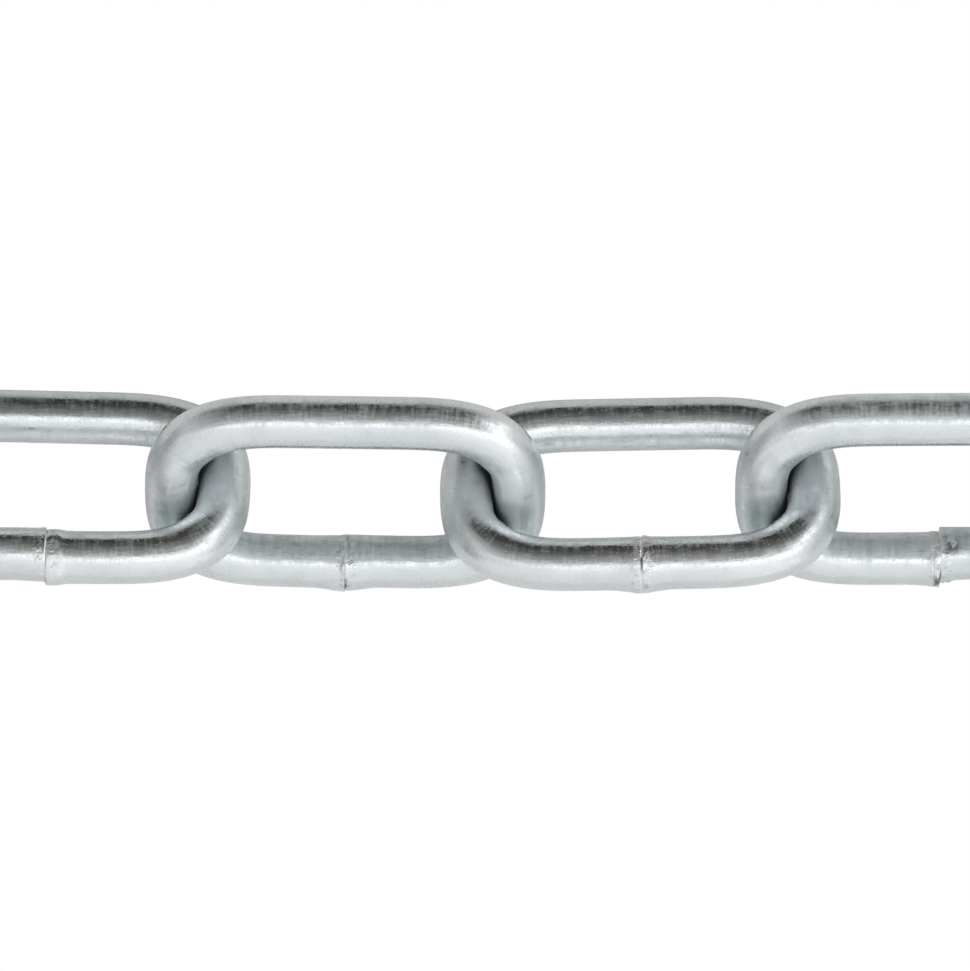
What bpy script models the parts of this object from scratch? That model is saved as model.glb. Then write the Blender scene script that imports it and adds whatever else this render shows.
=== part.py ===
"""One metre of side-welded long-link steel chain, lying straight on a level floor.

Every link is a closed loop of round wire. Its inside length is the pitch plus a little play, and one of its
two bars carries the butt weld. The links lie as flat as their neighbours let them, so they lean to alternate
sides of the chain's line. Metres, +X along the chain, +Z up, origin on the floor under its middle.
"""

import math

import bpy
from mathutils import Matrix

# Driving dimensions
WIRE_DIAMETER = 0.006
PITCH = 0.033
INSIDE_WIDTH = 0.0132
LINK_COUNT = 30
LEAN = math.radians(36)  # the angle between a link's plane and the floor

# The play between two links' end wires, beyond the pitch
END_PLAY = 0.0005

# The shape of a link's ends: how far back from the tip each shoulder starts, and how square it is
SHOULDER_LENGTH = 0.0136
SQUARENESS = 2.94
STEPS_PER_SHOULDER = 5
STEP_CROWDING = 0.0935  # draws the steps towards the bar and the tip, where the wire bends least

# The wire's section is a ten-sided prism, which has level sides above and below at a lean of 36 degrees
WIRE_SIDES = 10

# The butt weld's swelling, on the bar that lies on the -Y side
WELD_HALF_LENGTH = 0.0045
WELD_CROWN_HALF_LENGTH = 0.0012
WELD_SWELLING = 0.05  # of the wire's radius

# How far the line of the chain wanders across the floor, in a slow wave
WANDER = 0.00075
WANDER_WAVELENGTH = 0.2
WANDER_LOW_POINT = 0.003

ZINC_COLOUR = (0.66, 0.68, 0.70, 1.0)
ZINC_ROUGHNESS = 0.28

# A prism of this outer radius has the same section area as the round wire
SIDE_ANGLE = 2 * math.pi / WIRE_SIDES
PRISM_RADIUS = WIRE_DIAMETER / 2 * math.sqrt(SIDE_ANGLE / math.sin(SIDE_ANGLE))
PRISM_FLAT = PRISM_RADIUS * math.cos(SIDE_ANGLE / 2)

HALF_LENGTH = (PITCH + END_PLAY + WIRE_DIAMETER) / 2  # to the middle of an end wire
HALF_WIDTH = (INSIDE_WIDTH + WIRE_DIAMETER) / 2  # to the middle of a bar


def clear_scene():
    for obj in list(bpy.data.objects):
        bpy.data.objects.remove(obj)


def zinc_material():
    material = bpy.data.materials.new("bright_zinc")
    material.use_nodes = True
    shader = material.node_tree.nodes["Principled BSDF"]
    shader.inputs["Base Color"].default_value = ZINC_COLOUR
    shader.inputs["Metallic"].default_value = 1.0
    shader.inputs["Roughness"].default_value = ZINC_ROUGHNESS
    return material


def shoulder_point(turn):
    """The point of a shoulder where the wire has turned by this angle from the bar.

    The shoulder is a quarter of a superellipse, found here from the direction of its normal.
    """
    across = math.cos(turn) * HALF_WIDTH
    along = math.sin(turn) * SHOULDER_LENGTH
    conjugate = SQUARENESS / (SQUARENESS - 1)
    size = (across**conjugate + along**conjugate) ** (1 / SQUARENESS)
    x = SHOULDER_LENGTH * along ** (conjugate - 1) / size
    y = HALF_WIDTH * across ** (conjugate - 1) / size
    return HALF_LENGTH - SHOULDER_LENGTH + x, y


def shoulder():
    """One shoulder's points from the bar up to the tip, which itself is left out."""
    shares = [step / STEPS_PER_SHOULDER for step in range(STEPS_PER_SHOULDER)]
    turns = [math.pi / 2 * (s - STEP_CROWDING * math.sin(2 * math.pi * s)) for s in shares]
    return [shoulder_point(turn) for turn in turns]


def weld_stretch():
    """The welded bar's middle, from -X to +X, as (x, y, radius factor)."""
    stations = (
        (-WELD_HALF_LENGTH, 1.0),
        (-WELD_CROWN_HALF_LENGTH, 1.0 + WELD_SWELLING),
        (WELD_CROWN_HALF_LENGTH, 1.0 + WELD_SWELLING),
        (WELD_HALF_LENGTH, 1.0),
    )
    return [(x, -HALF_WIDTH, radius) for x, radius in stations]


def link_route():
    """The closed centreline of a link in its own plane, anticlockwise from the weld."""
    quarter = shoulder()
    right_end = [(x, -y, 1.0) for x, y in quarter]
    right_end += [(HALF_LENGTH, 0.0, 1.0)]
    right_end += [(x, y, 1.0) for x, y in reversed(quarter)]
    left_end = [(-x, -y, radius) for x, y, radius in right_end]
    return weld_stretch() + right_end + left_end


def link_curve():
    curve = bpy.data.curves.new("link", "CURVE")
    curve.dimensions = "3D"
    curve.twist_mode = "Z_UP"
    curve.bevel_depth = PRISM_RADIUS
    curve.bevel_resolution = WIRE_SIDES // 2 - 2
    spline = curve.splines.new("POLY")
    route = link_route()
    spline.points.add(len(route) - 1)
    for point, (x, y, radius) in zip(spline.points, route):
        point.co = (x, y, 0.0, 1.0)
        point.radius = radius
    spline.use_cyclic_u = True
    return curve


def wander(x):
    """How far the chain's line lies to +Y at x, and its heading there."""
    phase = 2 * math.pi * (x - WANDER_LOW_POINT) / WANDER_WAVELENGTH
    slope = WANDER * 2 * math.pi / WANDER_WAVELENGTH * math.sin(phase)
    return -WANDER * math.cos(phase), math.atan(slope)


def link_placement(number):
    """Where link 1, 2, 3 ... lies. Odd links lean down towards the weld, even links away from it."""
    x = (number - (LINK_COUNT + 1) / 2) * PITCH
    y, heading = wander(x)
    weld_is_low = number % 2 == 1
    roll = LEAN if weld_is_low else -LEAN
    lowest_bar = PRISM_FLAT * (1.0 + WELD_SWELLING if weld_is_low else 1.0)
    z = HALF_WIDTH * math.sin(LEAN) + lowest_bar
    place = Matrix.Translation((x, y, z))
    return place @ Matrix.Rotation(heading, 4, "Z") @ Matrix.Rotation(roll, 4, "X")


def make_chain():
    collection = bpy.data.collections.new("steel_chain")
    bpy.context.scene.collection.children.link(collection)
    curve = link_curve()
    curve.materials.append(zinc_material())
    for number in range(1, LINK_COUNT + 1):
        link = bpy.data.objects.new(f"link_{number:02d}", curve)
        link.matrix_world = link_placement(number)
        collection.objects.link(link)


clear_scene()
make_chain()
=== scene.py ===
"""A metre of bright zinc-plated side-welded chain on a white floor, in soft studio light, seen from above.

Each link of the frame is dressed with a round-wire link, with its own weld. Metres, +X along the chain,
+Z up.
"""

import math
import random
from collections import namedtuple
from types import SimpleNamespace

import bpy
import numpy as np
from mathutils import Matrix, Vector


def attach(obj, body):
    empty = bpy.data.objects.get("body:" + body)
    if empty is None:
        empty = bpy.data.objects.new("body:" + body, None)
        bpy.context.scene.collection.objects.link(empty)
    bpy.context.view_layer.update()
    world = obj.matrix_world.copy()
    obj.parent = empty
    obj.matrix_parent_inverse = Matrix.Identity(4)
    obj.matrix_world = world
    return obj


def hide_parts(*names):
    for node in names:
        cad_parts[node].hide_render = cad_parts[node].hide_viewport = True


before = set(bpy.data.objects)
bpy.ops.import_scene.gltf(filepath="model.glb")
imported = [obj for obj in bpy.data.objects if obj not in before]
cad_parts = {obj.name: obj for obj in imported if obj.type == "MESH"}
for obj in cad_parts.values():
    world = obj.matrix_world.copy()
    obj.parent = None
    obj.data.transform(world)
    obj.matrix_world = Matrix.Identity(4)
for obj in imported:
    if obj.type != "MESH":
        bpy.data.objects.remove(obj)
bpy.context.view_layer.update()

MILLIMETRE = 0.001

# The chain, as in the frame, but for the links' length: they are 0.6 mm shorter, so that neighbours touch
PITCH = 0.033
LINK_COUNT = 30
LEAN = math.radians(36)
HALF_LENGTH = 0.019444  # from a link's middle to the middle of its end wire
HALF_WIDTH = 0.0096  # from a link's middle to the middle of a bar
SHOULDER_LENGTH = 0.0136  # of the rounding at each end, along the link
SQUARENESS = 2.94  # of that rounding: 2 would be an ellipse
ROUTE_POINTS = 600  # on a quarter of a link's centreline
REST_HEIGHT = 0.00295  # of a plain low bar's middle above the floor
WELD_REST_HEIGHT = 0.0030975  # of a low bar that rests on its weld

# The chain's line, a slow wave across the floor
WANDER = 0.00075  # to either side
WANDER_WAVELENGTH = 0.2
WANDER_LOW_POINT = 0.003  # where the line lies farthest to -Y
SETTLING = {16: (0.5, -0.00008), 17: (-1.0, -0.0002)}  # off that line: degrees, and metres to +Y

# The wire and the fineness of its mesh
WIRE_RADIUS = 0.00295
SHOULDER_BULGE = 0.00040  # the wire is that much fuller on the inner side of each bend
BULGE_SHARPNESS = 1.5  # the more, the narrower the fuller side
SIDES = 40
FINE_STEP = 0.00006  # between rings at the weld
FULL_STEP = 0.00048  # between rings away from the weld
STEP_GROWTH = 1.09
ROUND_ANGLE = np.linspace(0, 2 * math.pi, SIDES, endpoint=False)  # of a ring's points, from the outer side
PATTERN_OFFSET = 0.25  # between the places of two links' wires in the noise, so that no two look alike

# The weld, in millimetres
SWELLING_HALF_LENGTH = 3.9
SEAM_DEPTH = 0.06
SEAM_HALF_WIDTH = 0.09
FLASH_HALF_LENGTH = 0.35
FLASH_HALF_ANGLE = 0.16  # radians round the wire
LARGEST_GROWTH = 0.40
UNDERSIDE_GROWTH = 0.12  # what a weld that lies on the floor has room for
MISMATCH_EDGE = (3.0, 9.5)  # from the seam: where the two ends start to line up, and where they do

# The welds that the photo shows. Angles in flash are radians, the others degrees.
SEEN_WELDS = {
    14: {"seam_at": -0.05, "swelling": 0.10, "left": (-0.14, 0.10), "right": (0.07, -0.05),
         "collar": 0.15, "collar_width": 0.95, "collar_at": 0.95, "gap": (-15, 12)},
    15: {"seam_at": 0.12, "swelling": 0.42, "left": (0.05, 0.04), "right": (-0.02, -0.02),
         "collar": 0.05, "collar_width": 0.35, "collar_at": -0.2, "gap": (73, 13)},
    16: {"seam_at": -0.12, "swelling": 0.36, "left": (0.0, 0.0), "right": (0.0, 0.0),
         "collar": 0.07, "collar_width": 0.9, "collar_at": 0.0, "gap": (52, 10)},
    17: {"seam_at": 0.62, "swelling": 0.22, "left": (0.0, 0.0), "right": (-0.46, -0.33),
         "collar": 0.08, "collar_width": 0.60, "collar_at": -0.6, "gap": (75, 10),
         "burns": [(1.4, 141, 0.8, 10), (-0.35, 71, 0.4, 8)],
         "flash": [(0.25, 0.66, 0.34), (1.0, 0.75, 0.24), (-0.35, 1.1, 0.20), (0.3, 1.25, 0.16)]},
}
FLASH_COUNT = 5  # burrs on a weld that isn't given its own above
FIRST_SEED = 4100  # for the luck of each other weld

# Marks on the plating, and painted shade. A stripe is its middle and half width, in degrees round the wire
# from its outer side and over its upper side. An edge is where a mark starts to change and where it has
# changed.
STRIPE_FADING = 9
BEND_EDGE = (15, 52)  # how many degrees the wire's outer side faces away from the link's length
LOW_BAR_EDGE = (0.011, 0.015)  # from the bar's middle
HIGH_BAR_EDGE = (0.010, 0.014)
ODD_HAZE_STRIPE = (164, 31)
EVEN_HAZE_STRIPE = (170, 20)
HIGH_HAZE_STRIPE = (20, 34)
ODD_HAZE = (1.0, 0.0)  # on the low and the high bar
EVEN_HAZE = (0.5, 0.0)
SEEN_HAZE = {15: (1.0, 0.2), 17: (1.0, 0.6)}
# Painted shade on plain low bars, deepening the dark reflection on their outer upper side
BAR_SHADE_STRIPE = (98, 20)
BAR_SHADE = 0.35  # of a plain low bar
SEEN_BAR_SHADE = {14: 0.6, 16: 0.2}
SATIN_EDGE = (-0.1, 0.5)  # how far inwards, in radii
OUTER_SATIN = 0.6
# Painted shade in the crevice where the next link's wire lies inside the bend
CREVICE_SHADE_EDGE = (0.1, 0.5)  # how far inwards, in radii
CREVICE_SHADE_TIP_EDGE = (0.0036, 0.0058)  # to either side of the tip
CREVICE_SHADE_SLANT = 200  # radii upwards for each metre towards the low bar
CREVICE_SHADE_MIDDLE = 0.15  # radii upwards, at the tip
CREVICE_SHADE_HALF_WIDTH = 0.46  # radii

# Painted shade and a painted highlight on the bends, with places in metres from the tip towards the low bar
LOW_SHADE_STRIPE = (112, 42)
LOW_SHADE_EDGE = (0.0002, 0.0016)
EVEN_LOW_SHADE = 0.25
ODD_LOW_SHADE = (0.75, 0.25)  # at the -X and the +X end
OUTER_SHADE_STRIPE = (68, 12)
OUTER_SHADE_EDGE = (-0.0010, 0.0004)
OUTER_SHADE = 0.6
HIGH_SHADE_STRIPE = (65, 6)
HIGH_SHADE_MIDDLE = -0.0049
HIGH_SHADE_HALF_LENGTH = 0.0019
HIGH_SHADE = 0.5
# A painted highlight on odd links' bends
HIGHLIGHT_STRIPE = (103, 25)
HIGHLIGHT_TIP_EDGE = (-0.0016, -0.0002)
HIGHLIGHT_FAR_EDGE = (-0.0062, -0.0044)

# Noise over the wire: cells to a metre along it and across it, levels of detail, and the finer levels' share
NOISES = {
    "lines": (480, 3600, 3, 0.5),
    "long_lines": (60, 1500, 2, 0.5),
    "chatter": (2600, 480, 3, 0.5),
    "blotches": (420, 700, 4, 0.6),
    "patches": (90, 180, 2, 0.5),
    "grains": (3000, 4200, 3, 0.5),
    "breaks": (300, 700, 1, 0.5),
    "specks": (1100, 1300, 2, 0.5),
    "hatching": (1400, 260, 2, 0.5),
}
RELIEF_HEIGHT = 0.00006

# The plating's colours
LIGHT_ZINC = (0.745, 0.778, 0.798, 1)
DARK_ZINC = (0.69, 0.728, 0.752, 1)
HAZY = (0.765, 0.828, 0.855, 1)
BLOTCHED = (0.62, 0.65, 0.66, 1)
PITTED = (0.48, 0.49, 0.49, 1)
DASHED = (0.36, 0.40, 0.41, 1)
HATCHED = (0.45, 0.50, 0.51, 1)
BURNT = (0.80, 0.80, 0.79, 1)
SCALY = (0.25, 0.25, 0.25, 1)
FLECKED = (0.88, 0.89, 0.90, 1)
SCORCHED = (0.10, 0.10, 0.10, 1)
WELD_METAL = (0.82, 0.83, 0.83, 1)
OPEN_GAP = (0.05, 0.05, 0.05, 1)
# Colours of a painted highlight, painted shade, and painted shade in the crevices between links
HIGHLIGHT_COLOUR = (0.93, 0.955, 0.97, 1)
PAINTED_SHADE_COLOUR = (0.33, 0.405, 0.415, 1)
CREVICE_SHADE_COLOUR = (0.04, 0.045, 0.045, 1)

# The camera looks straight down, with the picture's top towards +Y
LENS = 400.0
SENSOR = 36.0
CAMERA_PLACE = (-0.00086, 0.00014, 1.2155)
CLIP_START = 0.1
CLIP_END = 200.0

# The floor and the studio
FLOOR_SIZE = 60.0
FLOOR_COLOUR = (0.88, 0.88, 0.86, 1)
FLOOR_ROUGHNESS = 0.4
FLOOR_SHEEN = 0.7
FLOOR_GLOW = 0.05
WHITE = (1.0, 1.0, 1.0, 1)
NEAR_WALL = (0.44, 0.44, 0.42, 1)  # where it meets the soft box
FAR_WALL = (0.046, 0.045, 0.038, 1)
LAMP = (1.50, 1.50, 1.48, 1)
BELOW = (0.72, 0.72, 0.72, 1)
SOFT_BOX_LEVEL = 1.19  # straight up, before the step is added
SOFT_BOX_SLOPE = 0.30  # rise towards +Y
SOFT_BOX_STEP = 0.27  # added everywhere but on its -Y edge
SOFT_BOX_SIDES = (0.90, 1.10)  # factors at its -X and its +X side
SOFT_BOX_ENDS = 0.40  # factor at both far ends
LEFT_SIDE_LOSS = 0.34  # share that its -X side is dimmer
WALL_ENDS = 0.34  # how much of the wall shows at both far ends


def wander(x):
    """How far the chain's line lies to +Y at x, and its heading there."""
    phase = 2 * math.pi * (x - WANDER_LOW_POINT) / WANDER_WAVELENGTH
    slope = WANDER * 2 * math.pi / WANDER_WAVELENGTH * math.sin(phase)
    return -WANDER * math.cos(phase), math.atan(slope)


def weld_is_low(number):
    return number % 2 == 1


def link_placement(number):
    """Where link 1, 2, 3 ... lies. Odd links lean down towards the weld, even links away from it."""
    x = (number - (LINK_COUNT + 1) / 2) * PITCH
    line_y, heading = wander(x)
    turn, shift = SETTLING.get(number, (0.0, 0.0))
    roll = LEAN if weld_is_low(number) else -LEAN
    rest_height = WELD_REST_HEIGHT if weld_is_low(number) else REST_HEIGHT
    place = Matrix.Translation((x, line_y + shift, HALF_WIDTH * math.sin(LEAN) + rest_height))
    place = place @ Matrix.Rotation(heading + math.radians(turn), 4, "Z")
    return place @ Matrix.Rotation(roll, 4, "X")


def bump(distance, half_length):
    """1 in the middle, falling smoothly to 0 at half_length."""
    return 0.5 + 0.5 * np.cos(np.pi * np.clip(np.abs(distance) / half_length, 0, 1))


def fade(value, start, end):
    """0 up to start, rising smoothly to 1 at end."""
    share = np.clip((value - start) / (end - start), 0, 1)
    return share * share * (3 - 2 * share)


def quarter_route():
    """A shoulder from the bar to the tip, as x, y and the outward normal's angle from +Y."""
    turn = np.linspace(0, math.pi / 2, ROUTE_POINTS)
    across = np.cos(turn).clip(0) * HALF_WIDTH
    along = np.sin(turn) * SHOULDER_LENGTH
    conjugate = SQUARENESS / (SQUARENESS - 1)
    size = (across**conjugate + along**conjugate) ** (1 / SQUARENESS)
    x = HALF_LENGTH - SHOULDER_LENGTH + SHOULDER_LENGTH * along ** (conjugate - 1) / size
    y = HALF_WIDTH * across ** (conjugate - 1) / size
    return x, y, turn


def half_route():
    """Half a link's centreline, from the weld round the +X end to the middle of the other bar.

    Gives the length along it, x, y and the normal's angle, turning from -90 to +90 degrees.
    """
    x, y, turn = quarter_route()
    x = np.concatenate(([0.0], x, x[-2::-1], [0.0]))
    y = np.concatenate(([-HALF_WIDTH], -y, y[-2::-1], [HALF_WIDTH]))
    angle = np.concatenate(([-math.pi / 2], turn - math.pi / 2, math.pi / 2 - turn[-2::-1], [math.pi / 2]))
    length = np.concatenate(([0.0], np.cumsum(np.hypot(np.diff(x), np.diff(y)))))
    return length, x, y, angle


def ring_lengths(end):
    """How far along the wire each ring stands, close together at the weld."""
    lengths = [FINE_STEP / 2]
    step = FINE_STEP
    while lengths[-1] + step < end - FULL_STEP / 2:
        lengths.append(lengths[-1] + step)
        step = min(step * STEP_GROWTH, FULL_STEP)
    return np.array(lengths)


# The rings of a link in its own plane: signed length from the weld, x, y, the outward normal's angle,
# and the whole wire's length.
Rings = namedtuple("Rings", "signed x y angle total")


def wire_rings():
    """The rings of a whole link: half of them from the weld on, and their mirror images."""
    length, x, y, angle = half_route()
    along = ring_lengths(length[-1])
    right_x, right_y, right_angle = (np.interp(along, length, values) for values in (x, y, angle))
    return Rings(
        signed=np.concatenate((along, -along[::-1])),
        x=np.concatenate((right_x, -right_x[::-1])),
        y=np.concatenate((right_y, right_y[::-1])),
        angle=np.concatenate((right_angle, math.pi - right_angle[::-1])),
        total=2 * length[-1],
    )


def weld_of(number):
    """How one link's weld came out. Lengths in millimetres, angles round the wire from its outer side.

    left and right say how far each half of the bar stands outwards and upwards at the seam. gap is where
    the seam is open, as a stripe. Each of burns is a scorched place: how far from the seam, its angle, and
    its half length and half width. Each of flash is a burr: how far from the seam, its angle and its height.
    """
    luck = random.Random(FIRST_SEED + number)
    weld = {
        "seam_at": luck.uniform(-0.3, 0.3),
        "swelling": luck.uniform(0.15, 0.40),
        "left": (luck.uniform(-0.2, 0.1), luck.uniform(-0.15, 0.15)),
        "right": (luck.uniform(-0.2, 0.1), luck.uniform(-0.15, 0.15)),
        "collar": luck.uniform(0.05, 0.14),
        "collar_width": luck.uniform(0.3, 0.9),
        "collar_at": luck.uniform(-0.6, 0.6),
        "gap": (luck.uniform(-60, 240), luck.uniform(8, 40)),
        "burns": [],
        "flash": [
            (luck.uniform(-0.5, 0.5), luck.uniform(0, 2 * math.pi), luck.uniform(0.08, 0.2))
            for _ in range(FLASH_COUNT)
        ],
    }
    weld.update(SEEN_WELDS.get(number, {}))
    return weld


def weld_growth(number, weld, along):
    """How many millimetres thicker than the wire the weld is. along is each ring's length from the seam."""
    along = along[:, None]
    around = ROUND_ANGLE[None, :]
    swelling = weld["swelling"] * bump(along, SWELLING_HALF_LENGTH) * (0.5 + 0.5 * np.cos(around))
    collar = weld["collar"] * np.exp(-(((along - weld["collar_at"]) / weld["collar_width"]) ** 4))
    collar_lumps = 1 + 0.35 * np.sin(3 * around + number) + 0.2 * np.sin(7 * around)
    seam = -SEAM_DEPTH * np.exp(-((along / SEAM_HALF_WIDTH) ** 2))
    seam_lumps = 1 + 0.9 * np.sin(5 * around + 2 * number)
    growth = swelling + collar * collar_lumps + seam * seam_lumps
    for at, angle, height in weld["flash"]:
        lengthwise = (along - at) / FLASH_HALF_LENGTH
        crosswise = 2 * np.sin((around - angle) / 2) / FLASH_HALF_ANGLE
        growth = growth + height * np.exp(-(lengthwise**2) - crosswise**2)
    return np.minimum(growth, LARGEST_GROWTH)


def weld_shape(number, weld, rings, down):
    """The weld's effect on each ring: radial growth, and the wire's shift in the link's plane and across it.

    down is the angle round the wire at which the weld faces the floor.
    """
    along = rings.signed / MILLIMETRE - weld["seam_at"]
    growth = weld_growth(number, weld, along)
    facing_down = np.clip(np.cos(ROUND_ANGLE - down), 0, 1)[None, :] ** 2
    growth = growth + facing_down * (np.minimum(growth, UNDERSIDE_GROWTH) - growth)
    mismatch = 1 - fade(np.abs(along), *MISMATCH_EDGE)
    outwards, upwards = (
        np.where(along < 0, left, right) * mismatch for left, right in zip(weld["left"], weld["right"])
    )
    return growth * MILLIMETRE, outwards * MILLIMETRE, upwards * MILLIMETRE


def shoulder_bulge(rings):
    """How much fuller the wire is inside the bends."""
    in_bend = np.sin(2 * rings.angle) ** 2
    inwards = np.clip(-np.cos(ROUND_ANGLE), 0, 1) ** BULGE_SHARPNESS
    return SHOULDER_BULGE * np.outer(in_bend, inwards)


def stripe(middle, half_width):
    """For a ring's points: 1 within half_width degrees of the middle, and 0 a little farther round."""
    off = np.abs((np.degrees(ROUND_ANGLE) - middle + 180) % 360 - 180)
    return 1 - fade(off, half_width, half_width + STRIPE_FADING)


def inner_side(start, end):
    """For a ring's points: 0 up to start radii inwards of its middle, rising to 1 from end radii on."""
    return fade(-np.cos(ROUND_ANGLE), start, end)


def nowhere(rings):
    return np.zeros((len(rings.signed), SIDES))


def towards_low_bar(number, rings):
    """How far each ring lies from the link's long axis, towards the bar that rests on the floor."""
    return -rings.y if weld_is_low(number) else rings.y


def in_bends(rings):
    """1 round a link's ends, 0 along its bars."""
    return 1 - fade(np.degrees(np.arccos(np.abs(np.cos(rings.angle)))), *BEND_EDGE)


def on_bars(number, rings):
    """1 along the low bar, and 1 along the high bar, fading out towards the bends."""
    from_weld = np.abs(rings.signed)
    from_plain = rings.total / 2 - from_weld
    low, high = (from_weld, from_plain) if weld_is_low(number) else (from_plain, from_weld)
    return 1 - fade(low, *LOW_BAR_EDGE), 1 - fade(high, *HIGH_BAR_EDGE)


def haze(number, rings):
    """Where the plating is hazy: the inner upper side of the low bar, and on some links the high bar."""
    low_bar, high_bar = on_bars(number, rings)
    low_stripe = ODD_HAZE_STRIPE if weld_is_low(number) else EVEN_HAZE_STRIPE
    on_low, on_high = SEEN_HAZE.get(number, ODD_HAZE if weld_is_low(number) else EVEN_HAZE)
    low_haze = on_low * np.outer(low_bar, stripe(*low_stripe))
    return low_haze + on_high * np.outer(high_bar, stripe(*HIGH_HAZE_STRIPE))


def has_neighbour(number, rings):
    """0 at the chain's two free ends, where no next link lies in the bend, 1 elsewhere."""
    if number == 1:
        return np.where(rings.x < 0, 0.0, 1.0)
    if number == LINK_COUNT:
        return np.where(rings.x > 0, 0.0, 1.0)
    return np.ones_like(rings.x)


def rubbing(number, rings):
    """Painted shade where the next link's wire lies inside the bend: a slanting stripe, darker than the
    rest.
    """
    low_side = towards_low_bar(number, rings)
    from_middle = np.sin(ROUND_ANGLE)[None, :] - CREVICE_SHADE_SLANT * low_side[:, None] - CREVICE_SHADE_MIDDLE
    near_tip = 1 - fade(np.abs(low_side), *CREVICE_SHADE_TIP_EDGE)
    on_bend = np.outer(near_tip * has_neighbour(number, rings), inner_side(*CREVICE_SHADE_EDGE))
    return np.exp(-((from_middle / CREVICE_SHADE_HALF_WIDTH) ** 4)) * on_bend


def dulling(number, rings):
    """Painted greenish shade on the bend, where the next link's arm lies over it: low on it, beside the
    crevice shade.

    Odd links have a second such patch nearer their outer side, and one high on the bend at their +X end that
    narrows the highlight there.
    """
    low_side = towards_low_bar(number, rings)
    low = np.outer(fade(low_side, *LOW_SHADE_EDGE), stripe(*LOW_SHADE_STRIPE))
    if not weld_is_low(number):
        return EVEN_LOW_SHADE * low
    low = np.where(rings.x < 0, *ODD_LOW_SHADE)[:, None] * low
    outer = OUTER_SHADE * np.outer(fade(low_side, *OUTER_SHADE_EDGE), stripe(*OUTER_SHADE_STRIPE))
    high_at_one_end = np.where(rings.x > 0, bump(low_side - HIGH_SHADE_MIDDLE, HIGH_SHADE_HALF_LENGTH), 0.0)
    high = HIGH_SHADE * np.outer(high_at_one_end, stripe(*HIGH_SHADE_STRIPE))
    return np.minimum(low + outer + high, 1)


def bar_shade(number, rings):
    """Painted shade along a plain low bar's outer upper side, deepening the dark band reflected there."""
    if weld_is_low(number):
        return nowhere(rings)
    low_bar, _ = on_bars(number, rings)
    return SEEN_BAR_SHADE.get(number, BAR_SHADE) * np.outer(low_bar, stripe(*BAR_SHADE_STRIPE))


def polish(number, rings):
    """A painted highlight on an odd link's bend: high on it, on its upper side."""
    if not weld_is_low(number):
        return nowhere(rings)
    low_side = towards_low_bar(number, rings)
    lengthwise = fade(low_side, *HIGHLIGHT_FAR_EDGE) * (1 - fade(low_side, *HIGHLIGHT_TIP_EDGE))
    return np.outer(lengthwise, stripe(*HIGHLIGHT_STRIPE))


def satin():
    """For a ring's points: how satin the plating is in a bend, most on its inner side."""
    return OUTER_SATIN + (1 - OUTER_SATIN) * inner_side(*SATIN_EDGE)


def scorching(weld, rings):
    """1 at the weld's burns, 0 elsewhere."""
    amount = nowhere(rings)
    along = rings.signed / MILLIMETRE - weld["seam_at"]
    for at, middle, half_length, half_width in weld["burns"]:
        lengthwise = np.exp(-(((along - at) / half_length) ** 4))
        amount += np.outer(lengthwise, stripe(middle, half_width))
    return amount


def collar_distance(weld, rings):
    """How far each ring is from the middle of the burnt collar, as a share of the collar's half width."""
    middle = weld["seam_at"] + weld["collar_at"]
    return (rings.signed / MILLIMETRE - middle) / weld["collar_width"]


def link_marks(number, weld, rings):
    """What the material reads at each point of a link, besides its place on the wire."""
    all_rings = np.ones(len(rings.signed))
    all_sides = np.ones(SIDES)
    bends = in_bends(rings)[:, None]
    return {
        "from_seam": np.outer(rings.signed - weld["seam_at"] * MILLIMETRE, all_sides),
        "from_collar": np.outer(collar_distance(weld, rings), all_sides),
        "gap": np.outer(all_rings, stripe(*weld["gap"])),
        "scorching": scorching(weld, rings),
        "satin": bends * satin(),
        "haze": haze(number, rings),
        # The next three are painted shade in crevices, painted shade and a painted highlight, not marks of
        # the plating
        "rubbing": rubbing(number, rings),
        "dulling": bends * dulling(number, rings) + bar_shade(number, rings),
        "polish": bends * polish(number, rings),
    }


def add_attribute(mesh, name, kind, values):
    attribute = mesh.attributes.new(name, kind, "POINT")
    field = "vector" if kind == "FLOAT_VECTOR" else "value"
    attribute.data.foreach_set(field, np.asarray(values, np.float32).ravel())


def wire_points(rings, out, up, place):
    """Every ring's points in the world, from how far each lies outwards and upwards of the ring's middle."""
    x = rings.x[:, None] + out * np.cos(rings.angle)[:, None]
    y = rings.y[:, None] + out * np.sin(rings.angle)[:, None]
    local = np.stack((x, y, up), axis=-1).reshape(-1, 3)
    matrix = np.array(place)
    world = local @ matrix[:3, :3].T + matrix[:3, 3]
    world[:, 2] = world[:, 2].clip(0)
    return world


def tube_faces(ring_count):
    """The faces between each ring and the next, all round the link."""
    ring, side = np.meshgrid(np.arange(ring_count), np.arange(SIDES), indexing="ij")
    next_ring = (ring + 1) % ring_count
    next_side = (side + 1) % SIDES
    corners = [(ring, side), (next_ring, side), (next_ring, next_side), (ring, next_side)]
    return np.stack([a * SIDES + b for a, b in corners], axis=-1).reshape(-1, 4)


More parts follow.
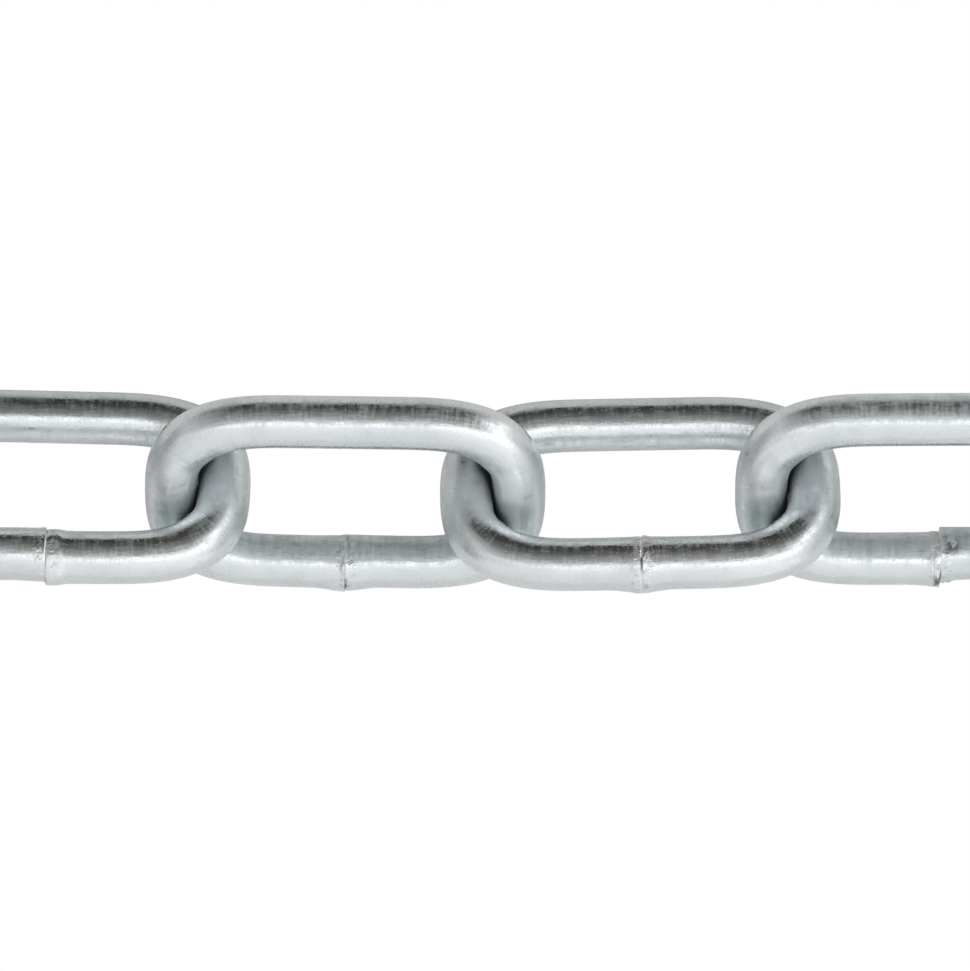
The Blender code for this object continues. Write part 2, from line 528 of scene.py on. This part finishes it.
def link_mesh(number):
    rings = wire_rings()
    weld = weld_of(number)
    place = link_placement(number)
    downwards = place.to_3x3().inverted() @ Vector((0, 0, -1))
    down = math.atan2(downwards.z, -downwards.y)
    growth, outwards, upwards = weld_shape(number, weld, rings, down)
    radius = WIRE_RADIUS + growth + shoulder_bulge(rings)
    out = radius * np.cos(ROUND_ANGLE)
    up = radius * np.sin(ROUND_ANGLE)
    points = wire_points(rings, out + outwards[:, None], up + upwards[:, None], place)

    mesh = bpy.data.meshes.new(f"chain_link_{number:02d}")
    mesh.from_pydata(points.tolist(), [], tube_faces(len(rings.signed)).tolist())
    mesh.shade_smooth()
    unrolled = np.where(rings.signed < 0, rings.signed + rings.total, rings.signed)
    along = unrolled[:, None] + number * PATTERN_OFFSET
    on_wire = np.stack(np.broadcast_arrays(along, out, up), axis=-1)
    add_attribute(mesh, "wire", "FLOAT_VECTOR", on_wire)
    for name, values in link_marks(number, weld, rings).items():
        add_attribute(mesh, name, "FLOAT", values)
    return mesh


class Nodes:
    """Small helpers for writing a node tree."""

    def __init__(self, tree):
        self.tree = tree

    def add(self, kind, **settings):
        node = self.tree.nodes.new(kind)
        for name, value in settings.items():
            setattr(node, name, value)
        return node

    def link(self, source, target):
        self.tree.links.new(source, target)

    def feed(self, socket, value):
        if isinstance(value, bpy.types.NodeSocket):
            self.link(value, socket)
        else:
            socket.default_value = value

    def attribute(self, name, output="Fac"):
        return self.add("ShaderNodeAttribute", attribute_name=name).outputs[output]

    def maths(self, operation, *values):
        node = self.add("ShaderNodeMath", operation=operation)
        for socket, value in zip(node.inputs, values):
            self.feed(socket, value)
        return node.outputs[0]

    def times(self, value, factor):
        return self.maths("MULTIPLY", value, factor)

    def weighted_sum(self, start, terms):
        """start, with each value times its weight added to it."""
        for value, weight in terms:
            start = self.maths("MULTIPLY_ADD", value, weight, start)
        return start

    def ramp(self, value, low, high, to_low=0.0, to_high=1.0):
        node = self.add("ShaderNodeMapRange", interpolation_type="SMOOTHSTEP")
        for socket, number in zip(node.inputs, (value, low, high, to_low, to_high)):
            self.feed(socket, number)
        return node.outputs[0]

    def mix(self, share, a, b):
        node = self.add("ShaderNodeMix", data_type="RGBA")
        self.feed(node.inputs["Factor"], share)
        self.feed(node.inputs[6], a)
        self.feed(node.inputs[7], b)
        return node.outputs[2]

    def layers(self, base, layers):
        """base, with each layer over it: where it shows, how strongly at most, and its colour."""
        for where, strength, colour in layers:
            base = self.mix(self.times(where, strength), base, colour)
        return base

    def scaled(self, vector, scale):
        node = self.add("ShaderNodeVectorMath", operation="MULTIPLY")
        self.link(vector, node.inputs[0])
        node.inputs[1].default_value = scale
        return node.outputs[0]

    def noise(self, vector, detail, roughness):
        node = self.add("ShaderNodeTexNoise")
        self.link(vector, node.inputs["Vector"])
        node.inputs["Scale"].default_value = 1.0
        node.inputs["Detail"].default_value = detail
        node.inputs["Roughness"].default_value = roughness
        return node.outputs["Fac"]


def zinc_patterns(nodes):
    """Each noise and each mark of the plating, as a value over the wire."""
    wire = nodes.attribute("wire", "Vector")
    zinc = SimpleNamespace()
    for name, (along, across, detail, roughness) in NOISES.items():
        setattr(zinc, name, nodes.noise(nodes.scaled(wire, (along, across, across)), detail, roughness))
    for name in ("haze", "rubbing", "dulling", "satin", "polish", "gap"):
        setattr(zinc, name, nodes.attribute(name))

    from_seam = nodes.maths("ABSOLUTE", nodes.attribute("from_seam"))
    from_collar = nodes.maths("ABSOLUTE", nodes.attribute("from_collar"))
    near_seam = nodes.ramp(from_seam, 0.0004, 0.0020, 1.0, 0.0)
    in_collar = nodes.ramp(from_collar, 0.8, 1.15, 1.0, 0.0)
    on_seam = nodes.ramp(from_seam, 0.00006, 0.00020, 1.0, 0.0)
    zinc.seam = nodes.times(on_seam, nodes.ramp(zinc.breaks, 0.38, 0.50))
    zinc.burnt = nodes.times(in_collar, nodes.ramp(zinc.blotches, 0.35, 0.6))
    zinc.scale = nodes.times(nodes.ramp(zinc.specks, 0.58, 0.66), near_seam)
    zinc.flecks = nodes.times(nodes.ramp(zinc.specks, 0.42, 0.35), near_seam)
    zinc.scorched = nodes.times(nodes.attribute("scorching"), nodes.ramp(zinc.specks, 0.40, 0.50))
    zinc.pits = nodes.ramp(zinc.grains, 0.64, 0.76)
    zinc.dashes = nodes.times(nodes.ramp(zinc.lines, 0.58, 0.68), zinc.haze)
    zinc.hatch = nodes.times(nodes.ramp(zinc.hatching, 0.42, 0.68), zinc.haze)
    return zinc


def zinc_colour(nodes, zinc):
    """Clean plating, with its wear, the weld's burns, and painted shade and a painted highlight over it."""
    clean = nodes.mix(nodes.ramp(zinc.patches, 0.35, 0.65), LIGHT_ZINC, DARK_ZINC)
    return nodes.layers(clean, [
        (zinc.haze, 0.8, HAZY),
        (nodes.ramp(zinc.blotches, 0.45, 0.75), 0.5, BLOTCHED),
        (zinc.pits, 0.5, PITTED),
        (zinc.dashes, 0.5, DASHED),
        (zinc.hatch, 0.35, HATCHED),
        (zinc.burnt, 0.5, BURNT),
        (zinc.scale, 0.4, SCALY),
        (zinc.flecks, 0.6, FLECKED),
        (zinc.scorched, 0.8, SCORCHED),
        (zinc.seam, 0.8, nodes.mix(zinc.gap, WELD_METAL, OPEN_GAP)),
        # The last three layers are a painted highlight, painted shade and painted crevice shade
        (zinc.polish, 1.0, HIGHLIGHT_COLOUR),
        (zinc.dulling, 0.90, PAINTED_SHADE_COLOUR),
        (zinc.rubbing, 0.93, CREVICE_SHADE_COLOUR),
    ])


def zinc_roughness(nodes, zinc):
    """More where the plating is blotched, lined, hazy, satin or burnt, and in the painted crevice shade.
    Chatter marks vary it.
    """
    return nodes.weighted_sum(nodes.ramp(zinc.blotches, 0.40, 0.62, 0.15, 0.27), [
        (nodes.ramp(zinc.lines, 0.45, 0.62), 0.10),
        (zinc.haze, 0.30),
        (zinc.satin, 0.28),
        (zinc.rubbing, 0.45),
        (nodes.ramp(zinc.chatter, 0.38, 0.62, -1.0, 1.0), 0.07),
        (zinc.burnt, 0.14),
    ])


def zinc_relief(nodes, zinc):
    """Drawing lines along the wire, chatter marks across it, and the weld's rough skin."""
    relief = nodes.add("ShaderNodeBump")
    relief.inputs["Strength"].default_value = 1.0
    relief.inputs["Distance"].default_value = RELIEF_HEIGHT
    height = nodes.weighted_sum(0.0, [
        (zinc.lines, 0.26),
        (zinc.long_lines, 0.12),
        (zinc.chatter, 0.26),
        (zinc.blotches, 0.08),
        (zinc.grains, 0.17),
        (zinc.pits, -0.25),
        (zinc.flecks, 0.6),
        (zinc.scale, -0.6),
    ])
    nodes.link(height, relief.inputs["Height"])
    return relief.outputs["Normal"]


def zinc_material():
    """Bright zinc over drawn wire: streaks, chatter marks, pits, hazy stripes, painted shade and highlights,
    a burnt weld.
    """
    material = bpy.data.materials.new("bright_zinc_plate")
    material.use_nodes = True
    nodes = Nodes(material.node_tree)
    shader = material.node_tree.nodes["Principled BSDF"]
    zinc = zinc_patterns(nodes)
    shader.inputs["Metallic"].default_value = 1.0
    nodes.link(zinc_colour(nodes, zinc), shader.inputs["Base Color"])
    nodes.link(zinc_roughness(nodes, zinc), shader.inputs["Roughness"])
    nodes.link(zinc_relief(nodes, zinc), shader.inputs["Normal"])
    return material


def dress_links():
    material = zinc_material()
    for number in range(1, LINK_COUNT + 1):
        mesh = link_mesh(number)
        mesh.materials.append(material)
        link = bpy.data.objects.new(f"chain_link_{number:02d}", mesh)
        bpy.context.scene.collection.objects.link(link)
        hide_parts(f"link_{number:02d}")
        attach(link, f"link_{number:02d}")


def floor_material():
    """White on its upper side. Its underside lets light through."""
    material = bpy.data.materials.new("white_floor")
    material.use_nodes = True
    nodes = Nodes(material.node_tree)
    shader = material.node_tree.nodes["Principled BSDF"]
    shader.inputs["Base Color"].default_value = FLOOR_COLOUR
    shader.inputs["Roughness"].default_value = FLOOR_ROUGHNESS
    shader.inputs["Specular IOR Level"].default_value = FLOOR_SHEEN
    shader.inputs["Emission Color"].default_value = WHITE
    shader.inputs["Emission Strength"].default_value = FLOOR_GLOW
    either_side = nodes.add("ShaderNodeMixShader")
    nodes.link(nodes.add("ShaderNodeNewGeometry").outputs["Backfacing"], either_side.inputs[0])
    nodes.link(shader.outputs["BSDF"], either_side.inputs[1])
    nodes.link(nodes.add("ShaderNodeBsdfTransparent").outputs["BSDF"], either_side.inputs[2])
    output = material.node_tree.nodes["Material Output"]
    nodes.link(either_side.outputs["Shader"], output.inputs["Surface"])
    return material


def make_floor():
    """A plain white floor, which the links lie on and mirror.

    The camera looks through it at the equally white studio, and the floor lets light through to what is
    below it, so links that a pose swings below it still show, and look as they do above it.
    """
    mesh = bpy.data.meshes.new("floor")
    half = FLOOR_SIZE / 2
    corners = [(-half, -half, 0), (half, -half, 0), (half, half, 0), (-half, half, 0)]
    mesh.from_pydata(corners, [], [(0, 1, 2, 3)])
    mesh.materials.append(floor_material())
    floor = bpy.data.objects.new("floor", mesh)
    floor.visible_camera = False
    bpy.context.scene.collection.objects.link(floor)


def soft_box(nodes, x, y):
    """How bright the wide white light is: more to +X and +Y, less at its far ends and at its -X side."""
    step = nodes.ramp(y, -0.48, -0.15)
    level = nodes.weighted_sum(SOFT_BOX_LEVEL, [(y, SOFT_BOX_SLOPE), (step, SOFT_BOX_STEP)])
    level = nodes.times(level, nodes.ramp(x, -0.5, 0.5, *SOFT_BOX_SIDES))
    level = nodes.times(level, nodes.ramp(nodes.maths("ABSOLUTE", x), 0.70, 1.0, 1.0, SOFT_BOX_ENDS))
    left_side = nodes.times(nodes.ramp(x, -0.60, -0.12, 1.0, 0.0), nodes.ramp(y, -0.60, -0.25))
    return nodes.times(level, nodes.weighted_sum(1.0, [(left_side, -LEFT_SIDE_LOSS)]))


def on_wall(nodes, x, y):
    """1 on the +Y side, where the dark wall stands, and less at its far ends."""
    near_middle = nodes.ramp(nodes.maths("ABSOLUTE", x), 0.28, 0.90, 1.0, WALL_ENDS)
    return nodes.times(nodes.ramp(y, -0.13, 0.15), near_middle)


def on_lamp(nodes, x, y):
    """1 at the upright lamp on the +X side."""
    across = nodes.times(nodes.ramp(x, 0.50, 0.62), nodes.ramp(x, 0.69, 0.87, 1.0, 0.0))
    upright = nodes.times(nodes.ramp(y, -0.15, 0.10), nodes.ramp(y, 0.58, 0.74, 1.0, 0.0))
    return nodes.times(across, upright)


def make_light():
    """A white studio with a wide soft box on the -Y side of the zenith, and a dark wall on the +Y side.

    Places in it are directions, as x, y and z from -1 to 1. The camera itself sees plain white.
    """
    world = bpy.data.worlds.new("studio")
    world.use_nodes = True
    bpy.context.scene.world = world
    nodes = Nodes(world.node_tree)
    background = world.node_tree.nodes["Background"]
    direction = nodes.add("ShaderNodeSeparateXYZ")
    nodes.link(nodes.add("ShaderNodeTexCoord").outputs["Generated"], direction.inputs[0])
    x, y, z = direction.outputs

    wall = nodes.mix(nodes.ramp(y, 0.0, 1.05), NEAR_WALL, FAR_WALL)
    studio = nodes.mix(on_wall(nodes, x, y), soft_box(nodes, x, y), wall)
    studio = nodes.mix(on_lamp(nodes, x, y), studio, LAMP)
    studio = nodes.mix(nodes.ramp(z, -0.02, 0.0, 1.0, 0.0), studio, BELOW)
    seen = nodes.add("ShaderNodeLightPath").outputs["Is Camera Ray"]
    nodes.link(nodes.mix(seen, studio, WHITE), background.inputs["Color"])
    background.inputs["Strength"].default_value = 1.0


def make_camera():
    data = bpy.data.cameras.new("camera")
    data.lens = LENS
    data.sensor_width = SENSOR
    data.clip_start = CLIP_START
    data.clip_end = CLIP_END
    camera = bpy.data.objects.new("camera", data)
    camera.location = CAMERA_PLACE
    bpy.context.scene.collection.objects.link(camera)
    bpy.context.scene.camera = camera
    bpy.context.scene.view_settings.view_transform = "Standard"


make_camera()
dress_links()
make_floor()
make_light()
